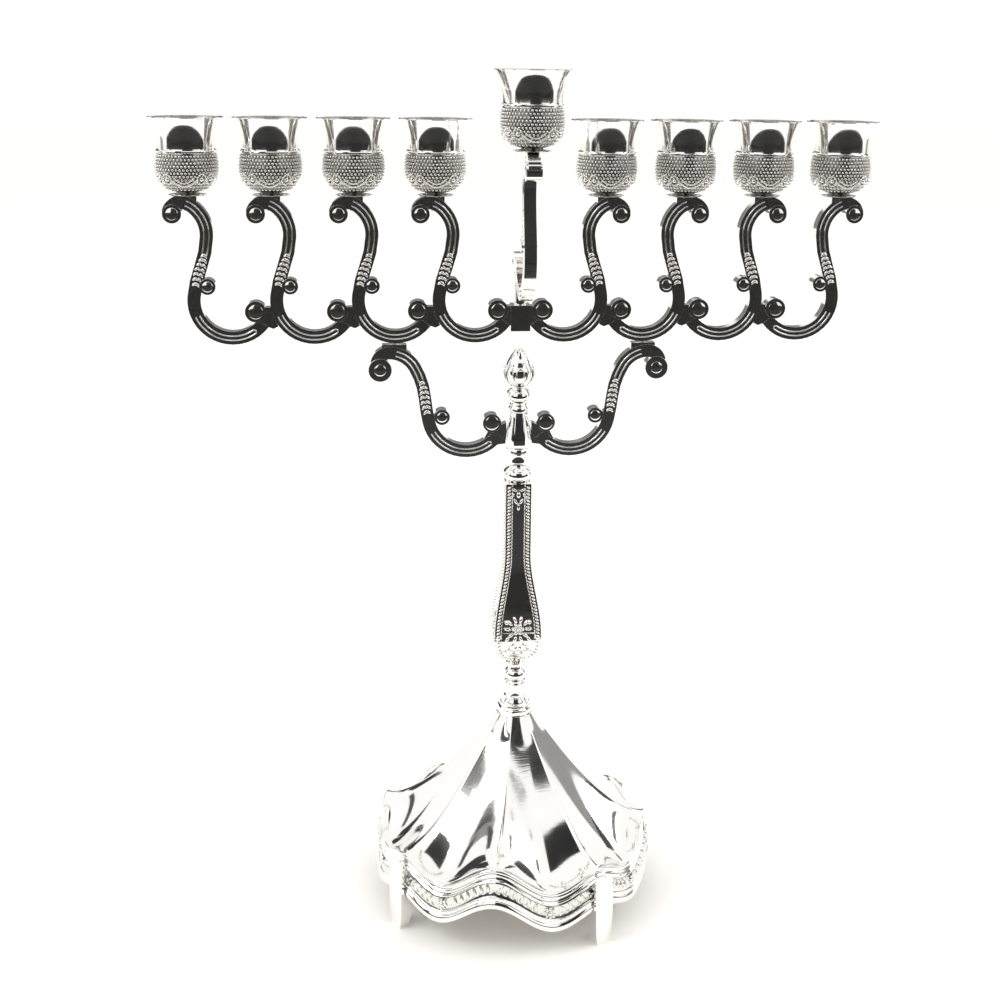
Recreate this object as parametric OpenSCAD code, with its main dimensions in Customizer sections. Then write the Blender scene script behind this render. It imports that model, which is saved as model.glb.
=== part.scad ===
// Nine-light menorah: a domed base on four feet, a baluster stem, two brackets that carry a rail of
// eight S-shaped arms, and a taller arm in front for the servant light. Millimetres, +Z up, front -Y.
// The origin is on the table, under the axis of the stem.

/* [Base] */
// Radius of the lip of the base
base_r = 60; // [55:1:66]
// Mean height of the creases where they meet the rim
crease_h = 34; // [32:0.5:38]
// How much higher the creases end between the feet than over them
arch_lift = 3; // [0:0.5:4]
// How far the middle of each panel hangs below its creases at the rim
lobe_drop = 8; // [4:0.5:9]
// Height of the rim band
rim_h = 15.5; // [12:0.5:17]
// Thickness of the cast dome
dome_wall = 2; // [1.5:0.25:2.5]
// Turn of the base about the axis: a crease lies here, counted from the front towards +X
base_turn = -13.5; // [-45:0.5:45]
// Width of each foot
foot_w = 8.6; // [7:0.2:10]

/* [Stem] */
// Height of the top of the dome
dome_top = 80.3; // [78:0.1:84]
// Half width of the stem's narrow upper part
stem_half = 5.3; // [4.5:0.1:6]
// Half width of the stem's round lower end
stem_foot_half = 9.75; // [8:0.05:11]
// Radius of the tie rod
rod_r = 2; // [1.5:0.1:2.2]

/* [Rail] */
// Distance between neighbouring cups
pitch = 32.4; // [32:0.1:34]
// Distance from the axis to the first cup on each side
first_cup = 34.5; // [34:0.1:36]
// Height of the seats of the eight cups
seat_h = 302.4; // [300:0.2:306]
// Width of an arm, seen from the front
arm_w = 5.2; // [4.6:0.1:5.6]
// Thickness of an arm, front to back
arm_t = 4.8; // [4.4:0.1:5.4]
// How much higher the servant light stands than the others
shamash_lift = 20; // [16:0.5:24]

/* [Cups] */
// Height of a cup
cup_h = 30.6; // [28:0.2:33]
// Radius of the flared mouth
mouth_r = 14.6; // [14:0.1:15.5]
// Radius of the granulated bulb
bulb_r = 12.2; // [11.6:0.1:13]
// Radius of the candle socket
socket_r = 9.5; // [8:0.1:10]
// Depth of the straight part of the socket
socket_depth = 15; // [12:0.5:16]

/* [Hidden] */
$fn = 64;
SIDES = ["left", "right"];

silver = [0.9, 0.9, 0.88];
antique = [0.72, 0.72, 0.7];
steel = [0.62, 0.63, 0.65];

fit = 0.05;
rod_bore = rod_r + fit;
stud_r = 1.6;
pin_r = 1.2;

// ---- dome and rim -------------------------------------------------------------------------------
creases = 8;
half_panel = 180 / creases;
dome_r = base_r - 4;
neck_r = 8;
hole_r = 5;
around = 80;
dome_rings = 9;

function smooth(t) = t <= 0 ? 0 : t >= 1 ? 1 : t * t * (3 - 2 * t);
// 0 at the collar and 1 at the rim
function out(r) = (r - neck_r) / (dome_r - neck_r);
// angle from the nearest crease, as a share of half a panel
function share(a) = abs((a + 360 + half_panel) % (2 * half_panel) - half_panel) / half_panel;
// how far into its hollow the panel is at an angle: pointed at the creases inside, round at the rim
function hollow(a, q) = let (s = share(a), sharp = 1 - (1 - s) * (1 - s), soft = (1 - cos(180 * s)) / 2)
    sharp * (1 - q * q) + soft * q * q;
function dome_z(r, a) = let (q = out(r))
    crease_h + (dome_top - crease_h) * pow(1 - q, 1.5)
    + arch_lift * cos(4 * a) * q * q - (0.8 + (lobe_drop - 0.8) * q) * hollow(a, q) * min(1, 8 * q);

// section of the rim, as steps outwards and down from the edge of the dome
rim_out = [[1.2, -0.5], [1.7, -1.6], [0.9, -2.4], [1.7, -3.2], [2, -4.6], [3, -rim_h + 3.6],
    [3.9, -rim_h + 3], [4, -rim_h]];
rim_in = [[2.4, -rim_h], [1.2, -rim_h + 4], [-0.6, -4.4]];

function dome_r_at(i) = neck_r + (dome_r - neck_r) * pow(i / dome_rings, 1.15);
function base_section(a) = let (edge = dome_z(dome_r, a)) concat(
    [[hole_r, dome_top], [neck_r, dome_top]],
    [for (i = [1:dome_rings]) let (r = dome_r_at(i)) [r, dome_z(r, a)]],
    [for (p = rim_out) [dome_r + p[0], edge + p[1]]],
    [for (p = rim_in) [dome_r + p[0], edge + p[1]]],
    [for (i = [dome_rings - 1:-1:1]) let (r = dome_r_at(i))
        [r - 0.5 * dome_wall, dome_z(r, a) - dome_wall]],
    [[neck_r - 0.7, dome_top - dome_wall], [hole_r, dome_top - dome_wall]]);

module base() {
    n = len(base_section(0));
    points = [for (i = [0:around - 1]) let (a = i * 360 / around) for (p = base_section(a))
        [p[0] * sin(a), -p[0] * cos(a), p[1]]];
    faces = [for (i = [0:around - 1], j = [0:n - 1])
        let (k = (i + 1) % around, m = (j + 1) % n)
        for (f = [[i * n + j, k * n + j, k * n + m], [i * n + j, k * n + m, i * n + m]]) f];
    color(silver) rotate([0, 0, base_turn]) polyhedron(points, faces);
}

// a foot stands under the lip and laps up over the outside of the rim band
module foot(i) {
    lip = dome_z(dome_r, half_panel * 2) - rim_h;
    face = base_r + 0.35;
    profile = [[base_r - 3.6, lip - 0.9], [face, lip - 0.9], [face, lip + rim_h - 2], [face + 1.6, lip + rim_h - 3],
        [face + 2.6, lip + rim_h - 7], [face + 2.9, lip], [face + 2.2, 1.2], [face + 1.2, 0], [base_r - 2.2, 0],
        [base_r - 3, 1]];
    color(silver) rotate([0, 0, base_turn + 45 + 90 * i])
        rotate([90, 0, -90]) linear_extrude(foot_w, center = true) polygon(profile);
}

// ---- the stack on the tie rod -------------------------------------------------------------------
collar_h = 7.2;
lower_knop_h = 16.8;
stem_z = dome_top + collar_h + lower_knop_h;
stem_h = 79;
upper_knop_z = stem_z + stem_h;
hub_z = upper_knop_z + 12.6;
hub_h = 20.5;
finial_z = hub_z + hub_h;
rod_top = finial_z + 6.5;
rod_low = dome_top - dome_wall - 8;

module turned(points, bore) {
    rotate_extrude() difference() {
        polygon(points);
        translate([0, -1]) square([bore, 400]);
    }
}

module base_washer() {
    z = dome_top - dome_wall - 1.5;
    color(steel) translate([0, 0, z]) difference() {
        cylinder(r = 6.4, h = 1.5);
        translate([0, 0, -1]) cylinder(r = rod_bore, h = 4);
    }
}

module base_nut() {
    z = dome_top - dome_wall - 5.2;
    color(steel) translate([0, 0, z]) difference() {
        cylinder(r = 4.1, h = 3.6, $fn = 6);
        translate([0, 0, -1]) cylinder(r = rod_bore, h = 6);
    }
}

module tie_rod() {
    color(steel) translate([0, 0, rod_low]) cylinder(r = rod_r, h = rod_top - rod_low);
}

module dome_collar() {
    plate = 3.4;
    color(silver) difference() {
        union() {
            translate([0, 0, dome_top - dome_wall]) cylinder(r = hole_r - 0.1, h = dome_wall + 0.5);
            translate([0, 0, dome_top]) rotate([0, 0, base_turn - 90]) cylinder(r = neck_r, h = plate, $fn = 8);
            translate([0, 0, dome_top + plate]) cylinder(r = 6.3, h = 1.6);
            translate([0, 0, dome_top + plate + 1.6]) cylinder(r1 = 5.8, r2 = 4.6, h = collar_h - plate - 1.6);
        }
        translate([0, 0, dome_top - dome_wall - 1]) cylinder(r = rod_bore, h = collar_h + 5);
    }
}

module lower_knop() {
    color(silver) translate([0, 0, dome_top + collar_h]) turned(concat(
        [[0, 0], [4.6, 0], [4, 0.8], [4, 5.6], [4.6, 6.3], [3.4, 7.2]],
        [for (a = [-60:20:60]) [3.1 + 1.9 * cos(a), 10 + 2.5 * sin(a)]],
        [[3.2, 13.2], [4.1, 14.4], [4.1, 15.6], [3, lower_knop_h], [0, lower_knop_h]]), rod_bore);
}

// half width of the stem at a height above its round end
function stem_half_at(z) = stem_half + (stem_foot_half - stem_half) * smooth((48 - z) / 34);
module stem_outline() {
    steps = 12;
    right = concat(
        [for (i = [0:steps]) let (a = -80 + 80 * i / steps) 
            stem_foot_half * [cos(a), 1 + sin(a)]],
        [for (i = [1:steps]) let (z = 13 + (stem_h - 13) * i / steps) [stem_half_at(z), z]]);
    left = [for (i = [len(right) - 1:-1:0]) [-right[i][0], right[i][1]]];
    polygon(concat(right, left));
}

module stem() {
    color(silver) translate([0, 0, stem_z]) difference() {
        intersection_for(turn = [0, 90])
            rotate([90, 0, turn]) linear_extrude(40, center = true) stem_outline();
        translate([0, 0, -1]) cylinder(r = rod_bore, h = stem_h + 2);
    }
}

module upper_knop() {
    color(silver) translate([0, 0, upper_knop_z]) turned(concat(
        [[0, 0], [4.4, 0], [4.8, 0.7]],
        [for (a = [-60:20:60]) [4.5 + 1.8 * cos(a), 3.4 + 2.3 * sin(a)]],
        [[4.2, 6.6], [3.8, 7.6], [4.2, 8.6], [4.2, 11.8], [3.9, 12.6], [0, 12.6]]), rod_bore);
}

tenon_z = hub_z + 9.2;
module hub() {
    color(silver) difference() {
        translate([0, 0, hub_z]) turned([[0, 0], [4.9, 0], [5.1, 1], [4.9, 2], [5.4, 2.8], [5.9, 4.2], [5.7, 7],
            [4.9, 11], [4.1, 15], [3.8, 17.5], [4.3, 18.4], [4.3, 19.4], [3.6, hub_h], [0, hub_h]], rod_bore);
        for (side = [-1, 1]) translate([side * 3, 0, tenon_z]) rotate([0, side * 90, 0])
            cylinder(r = 1.5 + fit, h = 6);
    }
}

module finial() {
    bud_z = 8;
    bud_h = 16;
    color(silver) translate([0, 0, finial_z]) difference() {
        rotate_extrude() polygon(concat(
            [[0, 0], [3.6, 0], [3.4, 1]],
            [for (a = [-60:30:60]) [3.5 + 1.7 * cos(a), 4 + 2.3 * sin(a)]],
            [[3.1, 7], [3.4, bud_z]],
            [for (t = [0.1:0.1:0.9]) [6.5 * pow(sin(180 * pow(t, 0.8)), 0.75), bud_z + bud_h * t]],
            [[0, bud_z + bud_h]]));
        translate([0, 0, -1]) cylinder(r = rod_bore, h = 8);
    }
}

// ---- arms: flat castings whose centre line is a chain of arcs --------------------------------------
// an arc is [radius, sweep]: a positive sweep turns left; the line leaves a point at a heading
function left_of(h) = [-sin(h), cos(h)];
function arc_end(p, h, arc) = let (s = sign(arc[1]), c = p + s * arc[0] * left_of(h))
    c - s * arc[0] * left_of(h + arc[1]);
function arc_steps(arc) = max(2, ceil(abs(arc[1]) / 9));
function arc_points(p, h, arc) = let (s = sign(arc[1]), c = p + s * arc[0] * left_of(h), n = arc_steps(arc))
    [for (i = [1:n]) let (g = h + arc[1] * i / n) [c - s * arc[0] * left_of(g), g]];
function chain(p, h, arcs, i = 0) = i == len(arcs) ? [] : concat(
    arc_points(p, h, arcs[i]),
    chain(arc_end(p, h, arcs[i]), h + arcs[i][1], arcs, i + 1));

module strap(start, heading, arcs, width) {
    line = concat([[start, heading]], chain(start, heading, arcs));
    n = len(line);
    polygon(concat(
        [for (i = [0:n - 1]) line[i][0] + width / 2 * left_of(line[i][1])],
        [for (i = [n - 1:-1:0]) line[i][0] - width / 2 * left_of(line[i][1])]));
}

// local frame of an upper arm: x from the cup's axis towards the stem, z from the seat of the cup
arm_start = [-7.4, -6.6];
arm_arcs = [[4.8, -80], [6.5, -35], [14, -58], [40, -18], [50, 14], [15, 150]];
volute = [-6.1, -7.1];
volute_r = 3.7;
mid_ball = [6.8, -36];
mid_ball_r = 3.2;
root_ball = [25.4, -46.2];
root_ball_r = 4.2;
u_centre = [16.3, -42.6];
link_z = -47;
link_h = 5;

module flat(thick) {
    rotate([90, 0, 0]) linear_extrude(thick, center = true) children();
}
ball_t = arm_t + 1.2;

// the arm with its cup's axis at x = 0; the far end has a seat for the next arm's pin
module upper_arm(reach, tapped) {
    difference() {
        union() {
            flat(arm_t) strap(arm_start, 80, arm_arcs, arm_w);
            flat(ball_t) translate(volute) circle(volute_r);
            flat(ball_t) translate(mid_ball) circle(mid_ball_r);
            flat(ball_t) translate(root_ball) circle(root_ball_r);
            flat(arm_t - 0.4) translate([-3.6, -5]) square([7.2, 6]);
            flat(arm_t - 0.4) translate([26.5, link_z - link_h / 2]) square([reach - 26.5, link_h]);
        }
        translate([-20, -10, 0]) cube([80, 20, 20]);
        // the next arm's outer edge, or nothing where the arm ends on a flat face
        if (reach > pitch) flat(20) translate(u_centre + [pitch, 0]) circle(15 + arm_w / 2 + 0.02);
        translate([0, 0, -6]) cylinder(r = stud_r, h = 7);
        translate([reach - 6, 0, link_z]) rotate([0, 90, 0]) cylinder(r = pin_r, h = 9);
        if (tapped) translate([-4, 0, link_z]) rotate([0, 90, 0]) cylinder(r = pin_r, h = 7.6);
    }
}

block_half = 4;
link_reach = first_cup - block_half;
function cup_x(i) = first_cup + pitch * (4 - i);

// i counts from the outside on both sides; the innermost arm ends on the centre block
module rail_arm(left, i) {
    reach = i == 4 ? link_reach : 34;
    color(antique) mirror([left ? 0 : 1, 0, 0]) translate([-cup_x(i), 0, seat_h]) upper_arm(reach, i > 1);
}

module link_pins() {
    color(steel) for (side = [-1, 1], i = [1:4]) {
        start = cup_x(i) - (i == 4 ? link_reach : 31.4) + 4.5;
        // the innermost pair stops short of the post's spigot
        long = i == 4 ? 6.2 : 7;
        translate([side * start, 0, seat_h + link_z]) rotate([0, -side * 90, 0]) cylinder(r = pin_r, h = long);
    }
}

block_top = seat_h - 44.1;
block_h = 10.6;
module centre_block() {
    color(antique) translate([0, 0, block_top - block_h]) difference() {
        translate([-block_half, -block_half, 0]) cube([2 * block_half, 2 * block_half, block_h]);
        translate([-block_half - 1, 0, seat_h + link_z - block_top + block_h])
            rotate([0, 90, 0]) cylinder(r = pin_r, h = 2 * block_half + 2);
        translate([0, 0, block_h - 2]) cylinder(r = 2, h = 3);
    }
}

arm_stud_h = 11.4;
module stud() {
    translate([0, 0, -6]) cylinder(r = stud_r, h = arm_stud_h);
}
module arm_studs() {
    color(steel) for (side = [-1, 1], i = [1:4]) translate([side * cup_x(i), 0, seat_h]) stud();
}

// ---- the servant light's arm, on its post ------------------------------------------------------------
swivel_z = seat_h + shamash_lift + link_z;
post_half = 2.7;
screw_r = 1.5;
cup_y = -(post_half + 0.1 + 31.5);

module shamash_post() {
    head = 8.4;
    color(antique) difference() {
        union() {
            translate([0, 0, block_top - 2]) cylinder(r = 2, h = 4);
            translate([0, 0, block_top]) cylinder(r = 2.6, h = swivel_z - head / 2 - block_top);
            translate([-post_half, -post_half, swivel_z - head / 2])
                cube([2 * post_half, 2 * post_half, head]);
        }
        translate([0, -5, swivel_z]) rotate([-90, 0, 0]) cylinder(r = screw_r + fit, h = 10);
    }
}

module shamash_arm() {
    color(antique) translate([0, cup_y, seat_h + shamash_lift]) rotate([0, 0, 90]) difference() {
        upper_arm(31.5, false);
        translate([22, 0, link_z]) rotate([0, 90, 0]) cylinder(r = screw_r, h = 12);
    }
}

module shamash_screw() {
    color(steel) translate([0, -9, swivel_z]) rotate([-90, 0, 0])
        cylinder(r = screw_r, h = 9 + post_half + 0.2);
    color(steel) translate([0, post_half + 0.1, swivel_z]) rotate([-90, 0, 0]) difference() {
        cylinder(r = 2.9, h = 1.8);
        translate([-4, -0.4, 1.1]) cube([8, 0.8, 2]);
    }
}

module shamash_stud() {
    color(steel) translate([0, cup_y, seat_h + shamash_lift]) stud();
}

// ---- the brackets under the rail -----------------------------------------------------------------------
// local frame: x towards the stem from its axis, negative outside; z from the top of the pad
pad_top = seat_h + u_centre[1] - 15 - arm_w / 2;
pad_x = -51.2;
pad_l = 10;
lower_arcs = [[5, -80], [12, -60], [32, -24], [100, 6], [16, 132]];

module lower_arm(left) {
    color(antique) mirror([left ? 0 : 1, 0, 0]) difference() {
        union() {
            translate([0, 0, pad_top]) {
                flat(arm_t) strap([-58.3, -7.5], 80, lower_arcs, arm_w);
                flat(ball_t) translate([-57, -10.4]) circle(volute_r + 1);
                flat(ball_t) translate([-31.8, -30.4]) circle(mid_ball_r);
                flat(ball_t) translate([-11.2, -33.2]) circle(3.8);
                flat(arm_t - 0.4) translate([pad_x - pad_l / 2, -4]) square([pad_l, 5]);
            }
            translate([-13, 0, tenon_z]) rotate([0, 90, 0]) cylinder(r = 2.2, h = 9);
        }
        translate([-90, -10, pad_top]) cube([80, 20, 20]);
        translate([pad_x, 0, pad_top - 6]) cylinder(r = pin_r, h = 7);
        // the hub stands in the end of the bracket, and its round tenon goes into the hub
        translate([0, 0, hub_z]) difference() {
            cylinder(r = 5.95, h = hub_h);
            translate([-8.2, 0, tenon_z - hub_z]) rotate([0, 90, 0]) cylinder(r = 1.5, h = 4.9);
        }
    }
}

module rail_screws() {
    color(steel) for (side = [-1, 1]) translate([side * -pad_x, 0, pad_top - 6]) cylinder(r = pin_r, h = 9);
}

// ---- cups ------------------------------------------------------------------------------------------------
ridge_z = 17.4;
waist_z = 22.6;
waist_r = 11.3;
bulb_z = 12;
module cup() {
    color(silver) difference() {
        rotate_extrude() polygon(concat(
            [[0, 0], [7.3, 0], [7.3, 0.5], [4.6, 1.6], [4, 3]],
            [for (a = [-66:12:30]) [bulb_r * cos(a * 0.98) , bulb_z + 9.6 * sin(a)]],
            [[10.8, ridge_z - 0.6], [11.6, ridge_z], [10.9, ridge_z + 0.7]],
            [for (i = [0:8]) let (t = i / 8, low = waist_z - 3.5)
                [waist_r + (mouth_r - waist_r) * pow(t, 1.8), low + (cup_h - low) * t]],
            [[mouth_r - 0.6, cup_h], [0, cup_h]]));
        translate([0, 0, cup_h - 6.6 - socket_depth]) cylinder(r = socket_r, h = 40);
        translate([0, 0, cup_h - 6.6]) cylinder(r1 = socket_r, r2 = mouth_r - 0.5, h = 6.7);
        translate([0, 0, -1]) cylinder(r = stud_r + fit, h = arm_stud_h - 6 + 1.2);
    }
}

module rail_cup(i) {
    x = i < 5 ? -cup_x(i) : cup_x(9 - i);
    translate([x, 0, seat_h]) cup();
}
module shamash_cup() {
    translate([0, cup_y, seat_h + shamash_lift]) cup();
}

base();
for (i = [1:4]) foot(i);
base_washer();
base_nut();
tie_rod();
dome_collar();
lower_knop();
stem();
upper_knop();
hub();
finial();
for (s = SIDES) lower_arm(s == "left");
rail_screws();
centre_block();
shamash_post();
shamash_arm();
shamash_screw();
for (s = SIDES, i = [1:4]) rail_arm(s == "left", i);
link_pins();
arm_studs();
shamash_stud();
for (i = [1:8]) rail_cup(i);
shamash_cup();
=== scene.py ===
import math
import random

import bpy
from mathutils import Matrix, Vector


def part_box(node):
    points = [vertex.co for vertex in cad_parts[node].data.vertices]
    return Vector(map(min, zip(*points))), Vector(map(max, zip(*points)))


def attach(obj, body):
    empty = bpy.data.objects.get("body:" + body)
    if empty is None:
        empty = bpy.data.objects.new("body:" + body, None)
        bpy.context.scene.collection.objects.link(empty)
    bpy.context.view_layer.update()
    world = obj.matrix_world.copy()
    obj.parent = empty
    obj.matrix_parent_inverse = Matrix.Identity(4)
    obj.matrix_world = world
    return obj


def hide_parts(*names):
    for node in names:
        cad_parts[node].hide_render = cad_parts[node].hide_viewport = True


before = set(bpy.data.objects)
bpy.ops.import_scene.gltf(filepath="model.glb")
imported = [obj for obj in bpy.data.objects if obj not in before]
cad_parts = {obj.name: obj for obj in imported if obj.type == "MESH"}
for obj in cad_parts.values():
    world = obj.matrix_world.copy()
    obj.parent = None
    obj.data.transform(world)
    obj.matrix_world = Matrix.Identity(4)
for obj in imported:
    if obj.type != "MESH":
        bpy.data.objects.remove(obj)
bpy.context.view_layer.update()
print("frame loaded")
mm = 0.001


def about(axis, angle):
    return Matrix.Rotation(angle, 4, axis)


def clear():
    if bpy.context.object and bpy.context.object.mode != "OBJECT":
        bpy.ops.object.mode_set(mode="OBJECT")
    bpy.ops.object.select_all(action="DESELECT")


def only(obj):
    clear()
    obj.select_set(True)
    bpy.context.view_layer.objects.active = obj


def editMode(obj, kind="VERT"):
    only(obj)
    bpy.ops.object.mode_set(mode="EDIT")
    bpy.ops.mesh.select_mode(type=kind)


def applyPlace(obj):
    only(obj)
    bpy.ops.object.transform_apply(location=True, rotation=True, scale=True)
    return obj


def moved(obj, matrix):
    obj.data.transform(matrix)
    if matrix.determinant() < 0:
        obj.data.flip_normals()
    return obj


def copyOf(obj, name):
    twin = obj.copy()
    twin.data = obj.data.copy()
    twin.name = name
    bpy.context.scene.collection.objects.link(twin)
    return twin


def joined(parts, name):
    only(parts[0])
    for part in parts:
        part.select_set(True)
    bpy.ops.object.join()
    piece = bpy.context.object
    piece.name = name
    piece.data.name = name
    return piece


def smooth(obj, angle):
    only(obj)
    bpy.ops.object.shade_smooth_by_angle(angle=math.radians(angle))
    return obj


def bevelled(obj, width, segments=2, angle=35):
    only(obj)
    mod = obj.modifiers.new("round", "BEVEL")
    mod.width = width * mm
    mod.segments = segments
    mod.angle_limit = math.radians(angle)
    mod.harden_normals = False
    bpy.ops.object.modifier_apply(modifier=mod.name)
    return obj


# the recess attribute marks where shade is painted into the silver's colour and where the surface is made
# rougher
def setRecess(obj, value):
    layer = obj.data.attributes.get("recess") or obj.data.attributes.new("recess", "FLOAT", "POINT")
    for i, vert in enumerate(obj.data.vertices):
        layer.data[i].value = value(vert.co) if callable(value) else value
    return obj


# a line of points is extruded vertex by vertex, then spun about the upright axis
def lathe(name, points, steps=96, turn=0.0):
    clear()
    bpy.ops.mesh.primitive_plane_add(size=mm)
    obj = bpy.context.object
    obj.name = name
    bpy.ops.object.mode_set(mode="EDIT")
    bpy.ops.mesh.select_mode(type="VERT")
    bpy.ops.mesh.select_all(action="SELECT")
    bpy.ops.mesh.merge(type="CENTER")
    bpy.ops.transform.translate(value=(points[0][0] * mm, 0, points[0][1] * mm))
    for (r0, z0), (r1, z1) in zip(points, points[1:]):
        step = ((r1 - r0) * mm, 0, (z1 - z0) * mm)
        bpy.ops.mesh.extrude_region_move(TRANSFORM_OT_translate={"value": step})
    bpy.ops.mesh.select_all(action="SELECT")
    bpy.ops.mesh.spin(steps=steps, angle=2 * math.pi, center=(0, 0, 0), axis=(0, 0, 1))
    bpy.ops.mesh.select_all(action="SELECT")
    bpy.ops.mesh.remove_doubles(threshold=0.01 * mm)
    bpy.ops.mesh.normals_make_consistent(inside=False)
    bpy.ops.object.mode_set(mode="OBJECT")
    if turn:
        obj.data.transform(about("Z", math.radians(turn)))
    return obj


def curvePoints(points, per=5):
    # a smooth line through the given points
    out = []
    for i in range(len(points) - 1):
        p = [Vector(points[max(0, min(len(points) - 1, i + k))]) for k in (-1, 0, 1, 2)]
        for j in range(per):
            t = j / per
            bend = 2 * p[0] - 5 * p[1] + 4 * p[2] - p[3]
            twist = 3 * p[1] - p[0] - 3 * p[2] + p[3]
            out.append(tuple(0.5 * (2 * p[1] + (p[2] - p[0]) * t + bend * t * t + twist * t ** 3)))
    out.append(tuple(points[-1]))
    return out


roundness = {"tiny": 1, "small": 2, "fine": 4}  # subdivisions of the three sizes of ball
ballMeshes = {}


def ballMesh(kind):
    # made once for each size, then copied
    if kind not in ballMeshes:
        clear()
        bpy.ops.mesh.primitive_ico_sphere_add(subdivisions=roundness[kind], radius=1)
        bpy.ops.object.shade_smooth()
        ball = bpy.context.object
        ballMeshes[kind] = ball.data.copy()
        bpy.data.objects.remove(ball)
    return ballMeshes[kind]


def grains(name, places, kind="tiny", recess=0.0):
    # a squeezed ball at each of the places, joined to one mesh
    copies = []
    for place in places:
        grain = bpy.data.objects.new(name, ballMesh(kind).copy())
        bpy.context.scene.collection.objects.link(grain)
        copies.append(moved(grain, place))
    return setRecess(joined(copies, name), recess)


def at(x, y, z, sx, sy, sz, turn=None):
    # where a grain goes and how far it is stretched, in millimetres
    place = Matrix.Translation(Vector((x, y, z)) * mm)
    if turn is not None:
        place = place @ turn
    return place @ Matrix.Diagonal((sx * mm, sy * mm, sz * mm, 1))


def wire(name, paths, radius):
    clear()
    data = bpy.data.curves.new(name, "CURVE")
    data.dimensions = "3D"
    data.bevel_depth = radius * mm
    data.bevel_resolution = 2
    data.use_fill_caps = True
    for path in paths:
        line = data.splines.new("POLY")
        line.points.add(len(path) - 1)
        for point, place in zip(line.points, path):
            point.co = (*[c * mm for c in place], 1)
    obj = bpy.data.objects.new(name, data)
    bpy.context.scene.collection.objects.link(obj)
    only(obj)
    bpy.ops.object.convert(target="MESH")
    obj = bpy.context.object
    for face in obj.data.polygons:
        face.use_smooth = True
    return setRecess(obj, 0.0)


def cadCopy(node, name, width, segments=3):
    # a rounded copy of the exact shape
    obj = copyOf(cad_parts[node], name)
    obj.parent = None
    obj.matrix_world = Matrix.Identity(4)
    editMode(obj)
    bpy.ops.mesh.select_all(action="SELECT")
    bpy.ops.mesh.remove_doubles(threshold=0.002 * mm)
    bpy.ops.mesh.dissolve_limited(angle_limit=math.radians(1))
    bpy.ops.object.mode_set(mode="OBJECT")
    bevelled(obj, width, segments)
    smooth(obj, 35)
    weight = obj.modifiers.new("flatFaces", "WEIGHTED_NORMAL")
    weight.weight = 100
    weight.keep_sharp = True
    bpy.ops.object.modifier_apply(modifier=weight.name)
    return setRecess(obj, 0.0)


# wraps a shader socket, so that an expression on it adds its Math nodes
class Value:
    def __init__(self, tree, socket):
        self.tree, self.socket = tree, socket

    def math(self, operation, other=None, swap=False):
        node = self.tree.nodes.new("ShaderNodeMath")
        node.operation = operation
        first, second = (other, self) if swap else (self, other)
        for slot, value in enumerate((first, second)):
            if isinstance(value, Value):
                self.tree.links.new(value.socket, node.inputs[slot])
            elif value is not None:
                node.inputs[slot].default_value = value
        return Value(self.tree, node.outputs[0])

    def __add__(self, other): return self.math("ADD", other)
    def __radd__(self, other): return self.math("ADD", other, True)
    def __sub__(self, other): return self.math("SUBTRACT", other)
    def __rsub__(self, other): return self.math("SUBTRACT", other, True)
    def __mul__(self, other): return self.math("MULTIPLY", other)
    def __rmul__(self, other): return self.math("MULTIPLY", other, True)
    def clamped(self): return self.math("MAXIMUM", 0.0).math("MINIMUM", 1.0)


class Finish:
    def __init__(self, name):
        self.material = bpy.data.materials.new(name)
        self.material.use_nodes = True
        self.tree = self.material.node_tree
        self.tree.nodes.clear()
        self.shader = self.tree.nodes.new("ShaderNodeBsdfPrincipled")
        output = self.tree.nodes.new("ShaderNodeOutputMaterial")
        self.tree.links.new(self.shader.outputs[0], output.inputs[0])

    def node(self, kind, settings=None, inputs=None, out=0):
        node = self.tree.nodes.new(kind)
        for key, value in (settings or {}).items():
            setattr(node, key, value)
        for key, value in (inputs or {}).items():
            if isinstance(value, Value):
                self.tree.links.new(value.socket, node.inputs[key])
            else:
                node.inputs[key].default_value = value
        return Value(self.tree, node.outputs[out])

    def feed(self, **inputs):
        for key, value in inputs.items():
            socket = self.shader.inputs[key.replace("_", " ")]
            if isinstance(value, Value):
                self.tree.links.new(value.socket, socket)
            else:
                socket.default_value = value

    def noise(self, scale, detail=3.0, stretch=None):
        place = self.node("ShaderNodeTexCoord", out=3)
        if stretch:
            place = self.node("ShaderNodeMapping", inputs={"Vector": place, "Scale": stretch})
        return self.node("ShaderNodeTexNoise", inputs={"Vector": place, "Scale": scale, "Detail": detail})


# the recessed colour is painted shade; the two shade amounts set how far it is mixed in where the recess
# attribute is raised
silverLook = {
    "bright": (0.95, 0.94, 0.915),
    "toned": (0.80, 0.75, 0.66),
    "recessed": (0.20, 0.185, 0.165),
    "roughness": 0.05, "ornamentRoughness": 0.09,
    "paintedShade": 0.75, "ornamentPaintedShade": 0.9,
    "smudge": 0.06,
    "cloudScale": 38.0, "speckScale": 900.0, "scratchScale": 60.0, "scratchStretch": (1.0, 9.0, 34.0),
}
steelLook = {
    "light": (0.62, 0.63, 0.64), "dark": (0.45, 0.44, 0.42), "roughness": 0.26,
    "brushScale": 220.0, "brushStretch": (1.0, 1.0, 14.0), "patchScale": 60.0,
}


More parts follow.
